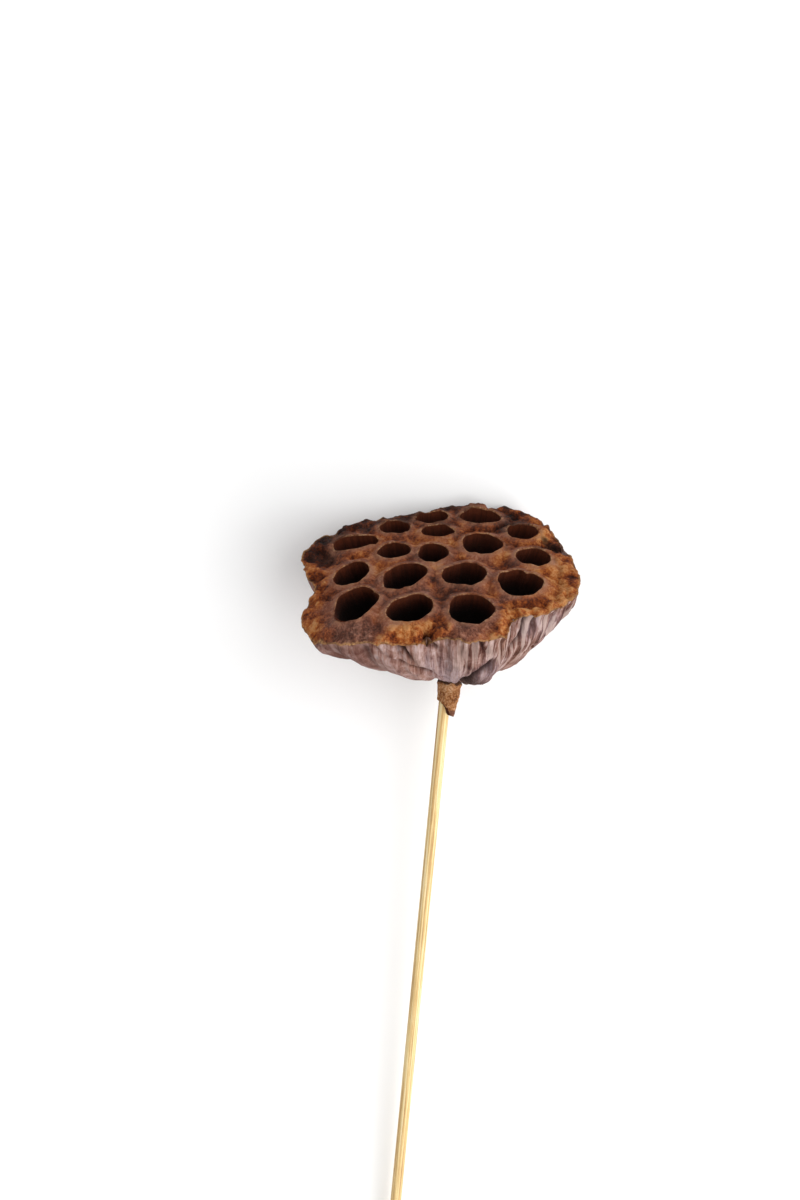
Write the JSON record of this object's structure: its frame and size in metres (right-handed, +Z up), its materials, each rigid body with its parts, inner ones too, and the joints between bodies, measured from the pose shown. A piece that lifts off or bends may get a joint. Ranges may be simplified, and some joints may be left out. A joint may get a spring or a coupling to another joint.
{
  "type": "dried lotus seed pod",
  "caption": "Dried lotus seed pod with open empty seed cells and a creased funnel-shaped body, on a thin reed stick, lying on its side.",
  "frame": {"origin": "centre of the bounding box, at the surface that the part lies on", "axes": "+Z up; +Y along the stick towards the pod; +X to the right of someone who looks along +Y"},
  "size_m": [0.1014, 0.3386, 0.0718],
  "materials": {
    "dried_pod": "matte",
    "reed": "satin"
  },
  "bodies": {
    "root": {"pod": "dried_pod", "reed": "reed"}
  },
  "joints": []
}
